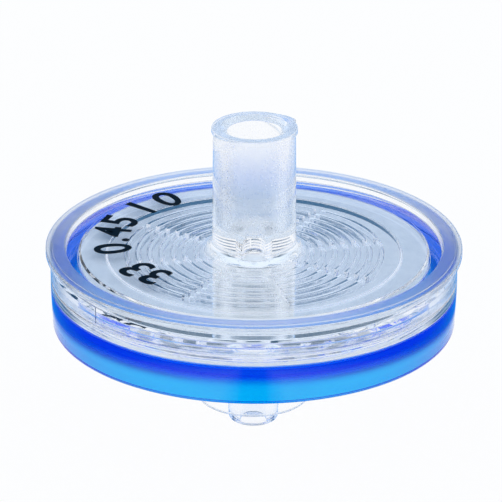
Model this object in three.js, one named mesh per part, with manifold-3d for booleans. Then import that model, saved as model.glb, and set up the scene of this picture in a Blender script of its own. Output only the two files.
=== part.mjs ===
// A round disc filter that goes between a syringe and a needle or tube.
// Two clear moulded shells clamp a white membrane disc between their flanges, and a blue ring
// sits under the outlet shell's flange. Liquid comes in by the female luer tube on top, spreads
// under the inlet shell's broken ring ribs, passes the membrane, and drains between the outlet
// shell's ring ribs to the male luer tip inside its locking collar.
// Millimetres, +Z up. The pieces are drawn from the seal plane (z = 0), where the membrane's top
// face meets the inlet shell. The finished group hangs from the centre of the inlet's mouth.

import * as THREE from 'three';
import { mergeVertices } from 'three/addons/utils/BufferGeometryUtils.js';
import Module from 'manifold-3d';

// ---------------------------------------------------------------- driving dimensions

const FACETS = 52;
const RIB_FACETS_PER_MM = 3.4;

const body = {
  radius: 16.15,              // outside wall of both shells and of the ring
  edgeRound: 0.16,
};

const joint = {
  weldWidth: 2.15,            // from the outside wall in to the membrane's pocket
  clampWidth: 2.1,            // membrane margin held between the shells
  pocketDepth: 0.5,           // from the seal plane down to the parting face of the shells
  pocketClearance: 0.15,      // around the membrane's edge
};

const membraneThickness = 0.15;
const chamberCornerRound = 0.2;
const plateThickness = 1.07;  // inlet disc, from the root of its ribs to the raised plateau

const rim = {
  rise: 0.43,                 // above the plateau
  width: 1.6,                 // from its inner wall to the lip's edge
  draft: 0.04,
  innerRound: 0.14,
  grooveDepth: 0.15,          // below the plateau
  grooveWidth: 1.18,
  bevel: 0.15,
};

const lip = {
  overhang: 0.35,
  thickness: 0.5,
  step: 0.07,                 // below the rim's flat top
  width: 0.5,
  round: 0.1,
};

const inletTube = {
  height: 10.27,              // from the plateau to the mouth
  baseRadius: 3.35,
  topRadius: 3.24,
  baseFillet: 0.95,
  beadRadius: 3.38,
  beadHeight: 0.42,
  beadRound: 0.07,
};

const luer = {
  taper: 0.03,                // radius lost for each millimetre of length, a 6 % cone
  mouthRadius: 2.155,         // female cone where its chamfer ends
  chamferWidth: 0.55,
  chamferDepth: 0.32,
  socketDepth: 8.3,
  tipRadius: 1.97,            // male cone at its end
  tipRound: 0.25,
  tipProjection: 2.05,        // past the end of the collar
};

const lug = {
  count: 2,
  startAngle: 29,             // degrees from +X to the tall end face
  sweep: 56,
  reach: 3.72,                // radius at the tall end
  tallEnd: 1.3,
  lead: 5,                    // climb of the locking thread in one turn
  rootDepth: 0.3,             // how far the root runs into the tube wall
  steps: 10,
};

const inletPassage = {
  radius: 0.9,
  flare: 0.5,
  floorDrop: 0.35,            // fall of the socket's floor towards the passage
};

const outletPassage = {
  radius: 1.05,
  flare: 0.5,
};

const inletRibs = {
  height: 0.5,
  firstRadius: 3.68,
  pitch: 0.92,
  crestWidth: 0.3,
  rootWidth: 0.46,
  rootDepth: 0.05,            // how far the root runs into the plate
  wallGap: 1.2,               // least plain margin to the chamber wall
};

const outletRibs = {
  height: 0.5,
  firstRadius: 2.6,
  pitch: 1.16,
  crestWidth: 0.36,
  rootWidth: 0.56,
  rootDepth: 0.05,
  wallGap: 0.5,
};

const channels = {
  count: 8,
  width: 0.6,
  angle: 14,                  // degrees from +X to the first one
};

const outletDisc = {
  flangeThickness: 0.9,       // from the parting face to the seat of the ring
  floorThickness: 1.75,       // under the roots of the ribs
  hubRound: 0.15,
};

const collar = {
  length: 8.8,                // below the outlet disc
  radius: 4.62,
  endRadius: 4.5,
  boreRadius: 3.98,
  baseFillet: 0.6,
  endRound: 0.12,
  roofThickness: 1.2,         // solid stretch between the disc and the blind end of the bore
};

const ring = {
  height: 3.18,
  draft: 0.12,                // radius lost from the seat down to the bottom edge
  ledgeWidth: 3.65,
  ledgeThickness: 1.45,
  skirtThickness: 1.1,
  hubClearance: 0.1,
  innerRound: 0.9,
  bottomRound: 0.35,
};

// ---------------------------------------------------------------- radii and heights that follow

const lipRadius = body.radius + lip.overhang;
const rimInnerRadius = lipRadius - rim.width;
const plateauRadius = rimInnerRadius - rim.grooveWidth;
const pocketRadius = body.radius - joint.weldWidth;
const membraneRadius = pocketRadius - joint.pocketClearance;
const chamberRadius = membraneRadius - joint.clampWidth;
const ringBoreRadius = body.radius - ring.ledgeWidth;
const hubRadius = ringBoreRadius - ring.hubClearance;

const plateauZ = inletRibs.height + plateThickness;
const grooveZ = plateauZ - rim.grooveDepth;
const rimZ = plateauZ + rim.rise;
const lipZ = rimZ - lip.step;
const mouthZ = plateauZ + inletTube.height;
const socketFloorZ = mouthZ - luer.socketDepth;
const partingZ = -joint.pocketDepth;
const clampZ = -membraneThickness;
const drainFloorZ = clampZ - outletRibs.height;
const ringSeatZ = partingZ - outletDisc.flangeThickness;
const ledgeZ = ringSeatZ - ring.ledgeThickness;
const ringBottomZ = ringSeatZ - ring.height;
const discZ = drainFloorZ - outletDisc.floorThickness;
const collarRoofZ = discZ - collar.roofThickness;
const collarEndZ = discZ - collar.length;
const tipEndZ = collarEndZ - luer.tipProjection;

// ---------------------------------------------------------------- solids and outlines

const manifold = await Module();
manifold.setup();
const { Manifold } = manifold;

// A closed mesh geometry as a solid that can be joined and cut.
function toSolid(geometry) {
  geometry.deleteAttribute('normal');
  geometry.deleteAttribute('uv');
  const merged = mergeVertices(geometry, 1e-5);
  return new Manifold(new manifold.Mesh({
    numProp: 3,
    vertProperties: Float32Array.from(merged.attributes.position.array),
    triVerts: Uint32Array.from(merged.index.array),
  }));
}

function toGeometry(solid) {
  const mesh = solid.getMesh();
  const geometry = new THREE.BufferGeometry();
  geometry.setAttribute('position', new THREE.BufferAttribute(Float32Array.from(mesh.vertProperties), 3));
  geometry.setIndex(new THREE.BufferAttribute(Uint32Array.from(mesh.triVerts), 1));
  geometry.computeVertexNormals();
  return geometry;
}

// Closed outline from corners [radius, height, round, steps], with an arc at each rounded corner.
function outline(corners) {
  const cornerAt = (i) => {
    const [radius, height] = corners.at(i % corners.length);
    return new THREE.Vector2(radius, height);
  };
  const points = corners.flatMap(([, , round = 0, steps = 1], i) => {
    const corner = cornerAt(i);
    if (round === 0) {
      return [corner];
    }
    const back = cornerAt(i - 1).sub(corner).normalize();
    const ahead = cornerAt(i + 1).sub(corner).normalize();
    const halfAngle = Math.acos(back.dot(ahead)) / 2;
    const tangent = round / Math.tan(halfAngle);
    const middle = back.clone().add(ahead).setLength(round / Math.sin(halfAngle)).add(corner);
    const start = corner.clone().addScaledVector(back, tangent);
    const bulge = THREE.MathUtils.euclideanModulo(ahead.angle() - back.angle(), 2 * Math.PI) < Math.PI;
    const turn = (Math.PI - 2 * halfAngle) * (bulge ? -1 : 1);
    return Array.from({ length: steps + 1 }, (_, k) =>
      start.clone().rotateAround(middle, (turn * k) / steps));
  });
  return [...points, points[0].clone()];
}

// Solid of revolution about Z. The outline runs anticlockwise: up its outer walls.
function revolve(corners, facets = FACETS) {
  return toSolid(new THREE.LatheGeometry(outline(corners), facets).rotateX(Math.PI / 2));
}

// Closed skin over equal rings of points, capped at both ends.
function loft(rings) {
  const size = rings[0].length;
  const index = [];
  for (let i = 0; i < rings.length - 1; i += 1) {
    for (let j = 0; j < size; j += 1) {
      const here = i * size + j;
      const next = i * size + ((j + 1) % size);
      index.push(here, next + size, next, here, here + size, next + size);
    }
  }
  const last = (rings.length - 1) * size;
  for (let j = 1; j < size - 1; j += 1) {
    index.push(0, j, j + 1, last, last + j + 1, last + j);
  }
  const geometry = new THREE.BufferGeometry().setFromPoints(rings.flat());
  geometry.setIndex(index);
  return toSolid(geometry);
}

// ---------------------------------------------------------------- ribs and channels

// One ring rib with drafted sides, between its root and its crest heights.
function ringRib(radius, ribs, rootZ, crestZ) {
  const corners = [
    [radius + ribs.rootWidth / 2, rootZ],
    [radius + ribs.crestWidth / 2, crestZ],
    [radius - ribs.crestWidth / 2, crestZ],
    [radius - ribs.rootWidth / 2, rootZ],
  ];
  const facets = channels.count * Math.ceil((RIB_FACETS_PER_MM * radius) / channels.count);
  return revolve(crestZ > rootZ ? corners : corners.reverse(), facets);
}

// Slots that run outwards through all the ring ribs of one shell.
function radialChannels(ribs) {
  const length = chamberRadius;
  return Array.from({ length: channels.count }, (_, i) => {
    const slot = new THREE.BoxGeometry(length, channels.width, 4 * ribs.height);
    slot.translate(length / 2, 0, 0);
    slot.rotateZ(THREE.MathUtils.degToRad(channels.angle + (i * 360) / channels.count));
    return toSolid(slot);
  });
}

// The ring ribs that fit inside the chamber, opened by the radial channels.
function ribField(ribs, rootZ, crestZ) {
  const span = chamberRadius - ribs.wallGap - ribs.rootWidth / 2 - ribs.firstRadius;
  const count = Math.floor(span / ribs.pitch) + 1;
  const rings = Array.from({ length: count }, (_, i) =>
    ringRib(ribs.firstRadius + i * ribs.pitch, ribs, rootZ, crestZ));
  const slots = Manifold.union(radialChannels(ribs)).translate(0, 0, (rootZ + crestZ) / 2);
  return Manifold.union(rings).subtract(slots);
}

// ---------------------------------------------------------------- inlet shell

// Partial thread start beside the mouth. Its end face stands tall and reaches furthest out;
// from there the underside climbs with the thread's lead and the outside fades into the tube.
function luerLug(index) {
  const root = inletTube.topRadius - lug.rootDepth;
  const faded = inletTube.topRadius - lug.rootDepth / 2;
  const top = mouthZ - inletTube.beadRound;
  const rings = Array.from({ length: lug.steps + 1 }, (_, i) => {
    const along = i / lug.steps;
    const angle = THREE.MathUtils.degToRad(lug.startAngle + (index * 360) / lug.count + along * lug.sweep);
    const reach = THREE.MathUtils.lerp(lug.reach, faded, along ** 2);
    const underside = mouthZ - lug.tallEnd + (lug.lead * lug.sweep * along) / 360;
    const point = (radius, height) =>
      new THREE.Vector3(radius * Math.cos(angle), radius * Math.sin(angle), height);
    return [point(root, underside), point(reach, underside), point(reach, top), point(root, top)];
  });
  return loft(rings);
}

function inletShellBody() {
  const stepRadius = lipRadius - lip.width;
  const socketFloorRadius = luer.mouthRadius - luer.taper * (luer.socketDepth - luer.chamferDepth);
  return revolve([
    // luer mouth, socket and passage
    [luer.mouthRadius + luer.chamferWidth, mouthZ],
    [luer.mouthRadius, mouthZ - luer.chamferDepth],
    [socketFloorRadius, socketFloorZ],
    [inletPassage.radius, socketFloorZ - inletPassage.floorDrop],
    [inletPassage.radius, inletRibs.height, inletPassage.flare, 3],
    // chamber, clamp face, membrane pocket and parting face
    [chamberRadius, inletRibs.height, chamberCornerRound],
    [chamberRadius, 0],
    [pocketRadius, 0],
    [pocketRadius, partingZ],
    [body.radius, partingZ, body.edgeRound],
    // outside wall, lip, rim and groove
    [body.radius, lipZ - lip.thickness],
    [lipRadius, lipZ - lip.thickness, lip.round],
    [lipRadius, lipZ, lip.round],
    [stepRadius, lipZ],
    [stepRadius, rimZ],
    [rimInnerRadius + rim.draft, rimZ, rim.innerRound, 2],
    [rimInnerRadius, grooveZ],
    [plateauRadius + rim.bevel, grooveZ],
    [plateauRadius, plateauZ],
    // tube foot, tube and the bead round its mouth
    [inletTube.baseRadius, plateauZ, inletTube.baseFillet, 4],
    [inletTube.topRadius, mouthZ - inletTube.beadHeight],
    [inletTube.beadRadius, mouthZ - inletTube.beadHeight],
    [inletTube.beadRadius, mouthZ, inletTube.beadRound],
  ]);
}

function inletShell() {
  const lugs = Array.from({ length: lug.count }, (_, i) => luerLug(i));
  const ribs = ribField(inletRibs, inletRibs.height + inletRibs.rootDepth, 0);
  return Manifold.union([inletShellBody(), ribs, ...lugs]);
}

// ---------------------------------------------------------------- outlet shell

function outletShellBody() {
  const coneRootRadius = luer.tipRadius + luer.taper * (collarRoofZ - tipEndZ);
  return revolve([
    // passage, male cone and the collar round it
    [outletPassage.radius, drainFloorZ, outletPassage.flare, 3],
    [outletPassage.radius, tipEndZ],
    [luer.tipRadius, tipEndZ, luer.tipRound, 3],
    [coneRootRadius, collarRoofZ],
    [collar.boreRadius, collarRoofZ],
    [collar.boreRadius, collarEndZ],
    [collar.endRadius, collarEndZ, collar.endRound],
    [collar.radius, discZ, collar.baseFillet, 3],
    // hub inside the ring, seat of the ring and flange wall
    [hubRadius, discZ, outletDisc.hubRound],
    [hubRadius, ringSeatZ],
    [body.radius, ringSeatZ, body.edgeRound],
    [body.radius, partingZ, body.edgeRound],
    // parting face, clamp face and chamber
    [membraneRadius, partingZ],
    [membraneRadius, clampZ],
    [chamberRadius, clampZ],
    [chamberRadius, drainFloorZ, chamberCornerRound],
  ]);
}

function outletShell() {
  const ribs = ribField(outletRibs, drainFloorZ - outletRibs.rootDepth, clampZ);
  return outletShellBody().add(ribs);
}

// ---------------------------------------------------------------- membrane and ring

function membraneDisc() {
  const disc = new THREE.CylinderGeometry(membraneRadius, membraneRadius, membraneThickness, FACETS);
  return toSolid(disc.rotateX(Math.PI / 2).translate(0, 0, -membraneThickness / 2));
}

function colourRing() {
  const skirtInnerRadius = body.radius - ring.skirtThickness;
  return revolve([
    [ringBoreRadius, ringSeatZ],
    [ringBoreRadius, ledgeZ],
    [skirtInnerRadius, ledgeZ, ring.innerRound, 3],
    [skirtInnerRadius, ringBottomZ],
    [body.radius - ring.draft, ringBottomZ, ring.bottomRound, 3],
    [body.radius, ringSeatZ, body.edgeRound],
  ]);
}

// ---------------------------------------------------------------- assembly

const clearPlastic = () => new THREE.MeshStandardMaterial({
  color: 0xe8f0f8,
  roughness: 0.08,
  metalness: 0,
  transparent: true,
  opacity: 0.4,
});

const bluePlastic = new THREE.MeshStandardMaterial({
  color: 0x0a62f0,
  roughness: 0.15,
  metalness: 0,
  transparent: true,
  opacity: 0.85,
});

const membranePaper = new THREE.MeshStandardMaterial({ color: 0xf6f6f4, roughness: 0.9, metalness: 0 });

function piece(name, solid, material) {
  const mesh = new THREE.Mesh(toGeometry(solid), material);
  mesh.name = name;
  return mesh;
}

const filter = new THREE.Group();
filter.name = 'syringe_filter';
filter.add(
  piece('inlet_housing', inletShell(), clearPlastic()),
  piece('membrane', membraneDisc(), membranePaper),
  piece('outlet_housing', outletShell(), clearPlastic()),
  piece('colour_ring', colourRing(), bluePlastic),
);
filter.position.z = -mouthZ;

export default filter;
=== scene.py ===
"""Round disc filter: two clear luer shells, a white membrane between them and a blue ring.

Every piece is a turned or lofted solid in metres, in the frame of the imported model: +Z is the
filter's axis and the origin is the centre of the inlet tube's mouth.
"""

import logging
import math
from dataclasses import dataclass
from enum import Enum

import bmesh
import bpy
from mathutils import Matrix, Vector


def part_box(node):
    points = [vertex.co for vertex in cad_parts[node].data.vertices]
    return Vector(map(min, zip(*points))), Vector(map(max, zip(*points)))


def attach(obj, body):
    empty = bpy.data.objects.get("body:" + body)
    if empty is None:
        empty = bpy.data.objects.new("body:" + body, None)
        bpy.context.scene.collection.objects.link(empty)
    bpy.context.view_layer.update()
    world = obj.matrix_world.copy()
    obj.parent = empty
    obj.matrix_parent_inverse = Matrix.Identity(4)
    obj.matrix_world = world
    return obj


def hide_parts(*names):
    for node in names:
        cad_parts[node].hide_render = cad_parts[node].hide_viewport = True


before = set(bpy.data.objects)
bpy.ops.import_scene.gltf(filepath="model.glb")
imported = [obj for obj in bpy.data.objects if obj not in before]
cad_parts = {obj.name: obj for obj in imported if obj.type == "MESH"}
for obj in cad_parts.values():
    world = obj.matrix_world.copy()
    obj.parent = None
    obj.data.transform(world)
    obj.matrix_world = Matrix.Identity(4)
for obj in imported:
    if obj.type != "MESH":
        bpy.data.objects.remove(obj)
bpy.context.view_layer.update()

log = logging.getLogger("disc_filter")

MM = 0.001
BODY = "root"
SHARP_EDGE = math.radians(28)
FULL_TURN = 360.0  # degrees
ON_AXIS = 1e-9  # a radius under this counts as none
SAME_PLACE = 1e-7  # metres between corners that count as one
WELD_OVERLAP = 0.02  # millimetres that the shells share at the weld, so that they look fused

Point = tuple[float, float]
Point3 = tuple[float, float, float]
Colour = tuple[float, float, float, float]


# ---------------------------------------------------------------- turned and lofted solids


@dataclass(frozen=True)
class Corner:
    """One corner of an outline, in millimetres, with the radius that rounds it."""

    radius: float
    height: float
    round: float = 0.0


class Outline:
    """Closed outline in the radius-height plane, anticlockwise: it climbs its outer walls."""

    ARC_STEP = math.radians(11)
    GUARD = 0.025

    def __init__(self, *corners: Corner) -> None:
        """Keeps the corners in order."""
        self.corners = corners

    def _arc(self, index: int) -> tuple[list[Vector], Vector, Vector]:
        """Rounds one corner.

        Args:
            index: Place of the corner in the outline.

        Returns:
            The arc's points, and the directions back and ahead along the outline.
        """
        count = len(self.corners)
        near = [self.corners[i % count] for i in (index, index - 1, index + 1)]
        here, before, after = (Vector((corner.radius, corner.height)) for corner in near)
        back, ahead = (before - here).normalized(), (after - here).normalized()
        size = self.corners[index].round
        if size <= 0:
            return [here], back, ahead
        half = back.angle(ahead) / 2
        middle = here + (back + ahead).normalized() * (size / math.sin(half))
        start = here + back * (size / math.tan(half)) - middle
        turn = math.pi - 2 * half
        sense = 1 if back.x * ahead.y - back.y * ahead.x < 0 else -1
        steps = max(2, math.ceil(turn / self.ARC_STEP))
        arc = []
        for step in range(steps + 1):
            angle = sense * turn * step / steps
            arc.append(
                middle
                + Vector(
                    (
                        start.x * math.cos(angle) - start.y * math.sin(angle),
                        start.x * math.sin(angle) + start.y * math.cos(angle),
                    )
                )
            )
        return arc, back, ahead

    def points(self, guarded: bool = True) -> list[Point]:
        """Walks round the outline.

        Args:
            guarded: Adds a point just beyond each arc, which keeps flat faces flat when shaded.

        Returns:
            The outline's points as (radius, height), in millimetres.
        """
        arcs = [self._arc(i) for i in range(len(self.corners))]
        walked: list[Vector] = []
        for i, (arc, back, ahead) in enumerate(arcs):
            rounded = len(arc) > 1
            before = (arcs[i - 1][0][-1] - arc[0]).length
            after = (arcs[(i + 1) % len(arcs)][0][0] - arc[-1]).length
            if guarded and rounded and before > 4 * self.GUARD:
                walked.append(arc[0] + back * self.GUARD)
            walked += arc
            if guarded and rounded and after > 4 * self.GUARD:
                walked.append(arc[-1] + ahead * self.GUARD)
        return [(p.x, p.y) for p in walked]


def mesh_object(name: str, points: list[Point3], faces: list[tuple[int, ...]]) -> bpy.types.Object:
    """Makes a closed mesh with its faces outwards, and links it to the scene.

    Args:
        name: The object's name.
        points: Vertices in millimetres.
        faces: Vertex numbers of each face.

    Returns:
        The new object.
    """
    mesh = bpy.data.meshes.new(name)
    mesh.from_pydata([tuple(c * MM for c in p) for p in points], [], faces)
    work = bmesh.new()
    work.from_mesh(mesh)
    bmesh.ops.recalc_face_normals(work, faces=work.faces)
    work.to_mesh(mesh)
    work.free()
    made = bpy.data.objects.new(name, mesh)
    bpy.context.scene.collection.objects.link(made)
    return made


def turned(name: str, outline: Outline, segments: int) -> bpy.types.Object:
    """Turns an outline about Z. Points on the axis close into poles.

    Args:
        name: The object's name.
        outline: The section, anticlockwise.
        segments: Steps in a full turn.

    Returns:
        The solid of revolution.
    """
    section = outline.points()
    points: list[Point3] = []
    rows: list[list[int]] = []
    for radius, height in section:
        if radius < ON_AXIS:
            rows.append([len(points)] * segments)
            points.append((0.0, 0.0, height))
            continue
        rows.append(list(range(len(points), len(points) + segments)))
        for k in range(segments):
            angle = 2 * math.pi * k / segments
            points.append((radius * math.cos(angle), radius * math.sin(angle), height))
    faces: list[tuple[int, ...]] = []
    for low, high in zip(rows, rows[1:] + rows[:1]):
        for k in range(segments):
            ahead = (k + 1) % segments
            face = tuple(dict.fromkeys((low[k], low[ahead], high[ahead], high[k])))
            if len(face) > 2:
                faces.append(face)
    return mesh_object(name, points, faces)


def lofted(name: str, strips: list[list[list[Point3]]]) -> bpy.types.Object:
    """Skins equal rings of points into closed solids with capped ends.

    Args:
        name: The object's name.
        strips: One list of rings for each solid.

    Returns:
        One object that holds all the solids.
    """
    points: list[Point3] = []
    faces: list[tuple[int, ...]] = []
    for rings in strips:
        base, size = len(points), len(rings[0])
        points += [p for ring in rings for p in ring]
        for i in range(len(rings) - 1):
            for j in range(size):
                here, side = base + i * size + j, base + i * size + (j + 1) % size
                faces.append((here, side, side + size, here + size))
        last = base + (len(rings) - 1) * size
        faces.append(tuple(base + j for j in reversed(range(size))))
        faces.append(tuple(last + j for j in range(size)))
    return mesh_object(name, points, faces)


def at_angle(radius: float, height: float, degrees: float) -> Point3:
    """A point at a radius, height and angle about Z, in millimetres."""
    angle = math.radians(degrees)
    return (radius * math.cos(angle), radius * math.sin(angle), height)


def joined(body: bpy.types.Object, *extras: bpy.types.Object) -> None:
    """Adds a union with each extra solid to a body's modifiers.

    Args:
        body: The object that takes the modifiers.
        extras: The solids that become one with it.
    """
    for extra in extras:
        modifier = body.modifiers.new("join_" + extra.name, "BOOLEAN")
        modifier.operation = "UNION"
        modifier.solver = "MANIFOLD"
        modifier.object = extra


def settled(body: bpy.types.Object, *extras: bpy.types.Object) -> None:
    """Turns a body and its modifiers into one plain, smoothly shaded mesh.

    Args:
        body: The object to settle.
        extras: Solids that its modifiers used, which are then removed.
    """
    graph = bpy.context.evaluated_depsgraph_get()
    mesh = bpy.data.meshes.new_from_object(body.evaluated_get(graph))
    old = body.data
    body.modifiers.clear()
    body.data = mesh
    bpy.data.meshes.remove(old)
    mesh.name = body.name
    for extra in extras:
        bpy.data.meshes.remove(extra.data)
    mesh.shade_smooth()
    mesh.set_sharp_from_angle(angle=SHARP_EDGE)


# ---------------------------------------------------------------- node trees


class Bench:
    """Adds nodes to one tree and wires them."""

    FIRST_COLOUR = 6  # sockets of a Mix node that is set to colours
    SECOND_COLOUR = 7
    MIXED_COLOUR = 2

    def __init__(self, tree: bpy.types.NodeTree) -> None:
        """Keeps the tree."""
        self.tree = tree

    def node(self, kind: str, inputs: dict | None = None, **settings: object) -> bpy.types.Node:
        """Adds one node.

        Args:
            kind: The node's type name.
            inputs: Values or sockets for its inputs, by name or number.
            settings: Values for the node's own properties.

        Returns:
            The new node.
        """
        made = self.tree.nodes.new(kind)
        for name, value in settings.items():
            setattr(made, name, value)
        for key, value in (inputs or {}).items():
            self.feed(made.inputs[key], value)
        return made

    def feed(self, socket: bpy.types.NodeSocket, value: object) -> None:
        """Wires a socket into another one, or sets its value.

        Args:
            socket: The input that is fed.
            value: The socket that it takes its value from, or the value itself.
        """
        if isinstance(value, bpy.types.NodeSocket):
            self.tree.links.new(value, socket)
        else:
            socket.default_value = value

    def maths(
        self, operation: str, a: object, b: object = 0.0, c: object = 0.0
    ) -> bpy.types.NodeSocket:
        """A Math node's result for one operation on up to three numbers."""
        return self.node("ShaderNodeMath", {0: a, 1: b, 2: c}, operation=operation).outputs[0]

    def distance(self, x: object, y: object) -> bpy.types.NodeSocket:
        """The length of the vector (x, y)."""
        squares = self.maths("ADD", self.maths("MULTIPLY", x, x), self.maths("MULTIPLY", y, y))
        return self.maths("SQRT", squares)

    def blend(self, factor: object, first: object, second: object) -> bpy.types.NodeSocket:
        """Mixes two colours.

        Args:
            factor: The share of the second colour, from 0 to 1.
            first: The colour at 0.
            second: The colour at 1.

        Returns:
            The mixed colour.
        """
        made = self.node("ShaderNodeMix", {0: factor}, data_type="RGBA")
        self.feed(made.inputs[self.FIRST_COLOUR], first)
        self.feed(made.inputs[self.SECOND_COLOUR], second)
        return made.outputs[self.MIXED_COLOUR]

    def vector(self, x: object = 0.0, y: object = 0.0, z: object = 0.0) -> bpy.types.NodeSocket:
        """A vector made of three numbers."""
        return self.node("ShaderNodeCombineXYZ", {0: x, 1: y, 2: z}).outputs[0]


class RingRibs:
    """Node tree that adds broken ring ribs to a shell and joins them into one closed solid."""

    NAME = "broken_ring_ribs"
    ROUND_STEPS = 3
    CUTTER_OVERSIZE = 3.0  # a channel cutter's height as a multiple of the ribs' height
    SIZES = {
        "Rings": "NodeSocketInt",
        "First radius": "NodeSocketFloat",
        "Pitch": "NodeSocketFloat",
        "Upper width": "NodeSocketFloat",
        "Upper height": "NodeSocketFloat",
        "Lower width": "NodeSocketFloat",
        "Lower height": "NodeSocketFloat",
        "Edge round": "NodeSocketFloat",
        "Facets": "NodeSocketInt",
        "Channels": "NodeSocketInt",
        "Channel width": "NodeSocketFloat",
        "Channel start": "NodeSocketFloat",
        "Channel end": "NodeSocketFloat",
        "Channel angle": "NodeSocketFloat",
    }

    @classmethod
    def tree(cls) -> bpy.types.NodeTree:
        """Builds the tree, the first time it is asked for.

        Returns:
            The tree.
        """
        if cls.NAME in bpy.data.node_groups:
            return bpy.data.node_groups[cls.NAME]
        tree = bpy.data.node_groups.new(cls.NAME, "GeometryNodeTree")
        tree.interface.new_socket("Shell", in_out="INPUT", socket_type="NodeSocketGeometry")
        for name, kind in cls.SIZES.items():
            tree.interface.new_socket(name, in_out="INPUT", socket_type=kind)
        tree.interface.new_socket("Finish", in_out="INPUT", socket_type="NodeSocketMaterial")
        tree.interface.new_socket("Shell", in_out="OUTPUT", socket_type="NodeSocketGeometry")
        bench = Bench(tree)
        given = bench.node("NodeGroupInput").outputs
        ribs = cls._ribs(bench, given)
        cutters = cls._channels(bench, given)
        opened = bench.node(
            "GeometryNodeMeshBoolean",
            {"Mesh 1": ribs, "Mesh 2": cutters},
            operation="DIFFERENCE",
            solver="MANIFOLD",
        )
        union = bench.node("GeometryNodeMeshBoolean", operation="UNION", solver="MANIFOLD")
        bench.feed(union.inputs["Mesh 2"], given["Shell"])
        bench.feed(union.inputs["Mesh 2"], opened.outputs["Mesh"])
        plain = bench.node("GeometryNodeRealizeInstances", {0: union.outputs["Mesh"]})
        dressed = bench.node(
            "GeometryNodeSetMaterial", {"Geometry": plain.outputs[0], "Material": given["Finish"]}
        )
        bench.node("NodeGroupOutput", {0: dressed.outputs[0]})
        return tree

    @classmethod
    def _ribs(cls, bench: Bench, given: bpy.types.bpy_prop_collection) -> bpy.types.NodeSocket:
        """Sweeps a drafted section round one circle for each ring.

        Args:
            bench: The tree's bench.
            given: The tree's inputs.

        Returns:
            The rings as a mesh.
        """
        half_up = bench.maths("MULTIPLY", given["Upper width"], 0.5)
        half_low = bench.maths("MULTIPLY", given["Lower width"], 0.5)
        upper = bench.maths("MULTIPLY", given["Upper height"], -1)
        lower = bench.maths("MULTIPLY", given["Lower height"], -1)
        section = bench.node(
            "GeometryNodeCurvePrimitiveQuadrilateral",
            {
                "Point 1": bench.vector(bench.maths("MULTIPLY", half_up, -1), upper),
                "Point 2": bench.vector(half_up, upper),
                "Point 3": bench.vector(half_low, lower),
                "Point 4": bench.vector(bench.maths("MULTIPLY", half_low, -1), lower),
            },
            mode="POINTS",
        )
        rounded = bench.node(
            "GeometryNodeFilletCurve",
            {
                "Curve": section.outputs[0],
                "Count": cls.ROUND_STEPS,
                "Radius": given["Edge round"],
                "Limit Radius": True,
            },
            mode="POLY",
        )
        circle = bench.node(
            "GeometryNodeCurvePrimitiveCircle", {"Resolution": given["Facets"], "Radius": 1.0}
        )
        places = bench.node("GeometryNodePoints", {"Count": given["Rings"]})
        index = bench.node("GeometryNodeInputIndex").outputs[0]
        radius = bench.maths("MULTIPLY_ADD", index, given["Pitch"], given["First radius"])
        rings = bench.node(
            "GeometryNodeInstanceOnPoints",
            {
                "Points": places.outputs[0],
                "Instance": circle.outputs[0],
                "Scale": bench.vector(radius, radius, radius),
            },
        )
        paths = bench.node("GeometryNodeRealizeInstances", {0: rings.outputs[0]})
        swept = bench.node(
            "GeometryNodeCurveToMesh",
            {"Curve": paths.outputs[0], "Profile Curve": rounded.outputs[0]},
        )
        return swept.outputs[0]

    @classmethod
    def _channels(cls, bench: Bench, given: bpy.types.bpy_prop_collection) -> bpy.types.NodeSocket:
        """Places one long box for each radial channel.

        Args:
            bench: The tree's bench.
            given: The tree's inputs.

        Returns:
            The boxes as a mesh.
        """
        start, end = given["Channel start"], given["Channel end"]
        high, low = given["Upper height"], given["Lower height"]
        tall = bench.maths("MULTIPLY", bench.maths("SUBTRACT", high, low), cls.CUTTER_OVERSIZE)
        length = bench.maths("SUBTRACT", end, start)
        box = bench.node(
            "GeometryNodeMeshCube",
            {"Size": bench.vector(length, given["Channel width"], tall)},
        )
        middle = bench.vector(
            bench.maths("MULTIPLY", bench.maths("ADD", end, start), 0.5),
            0.0,
            bench.maths("MULTIPLY", bench.maths("ADD", high, low), 0.5),
        )
        moved = bench.node(
            "GeometryNodeTransform", {"Geometry": box.outputs[0], "Translation": middle}
        )
        places = bench.node("GeometryNodePoints", {"Count": given["Channels"]})
        index = bench.node("GeometryNodeInputIndex").outputs[0]
        step = bench.maths("DIVIDE", 2 * math.pi, given["Channels"])
        angle = bench.maths("MULTIPLY_ADD", index, step, given["Channel angle"])
        boxes = bench.node(
            "GeometryNodeInstanceOnPoints",
            {
                "Points": places.outputs[0],
                "Instance": moved.outputs[0],
                "Rotation": bench.vector(0.0, 0.0, angle),
            },
        )
        return bench.node("GeometryNodeRealizeInstances", {0: boxes.outputs[0]}).outputs[0]

    @classmethod
    def add(
        cls, shell: bpy.types.Object, finish: bpy.types.Material, sizes: dict[str, float]
    ) -> None:
        """Puts the tree on a shell.

        Args:
            shell: The object that gets the ribs.
            finish: Its material.
            sizes: The tree's inputs by name, in metres and radians.
        """
        tree = cls.tree()
        modifier = shell.modifiers.new(cls.NAME, "NODES")
        modifier.node_group = tree
        keys = {s.name: s.identifier for s in tree.interface.items_tree if s.in_out == "INPUT"}
        for name, value in sizes.items():
            modifier[keys[name]] = value
        modifier[keys["Finish"]] = finish


# ---------------------------------------------------------------- finishes


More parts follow.
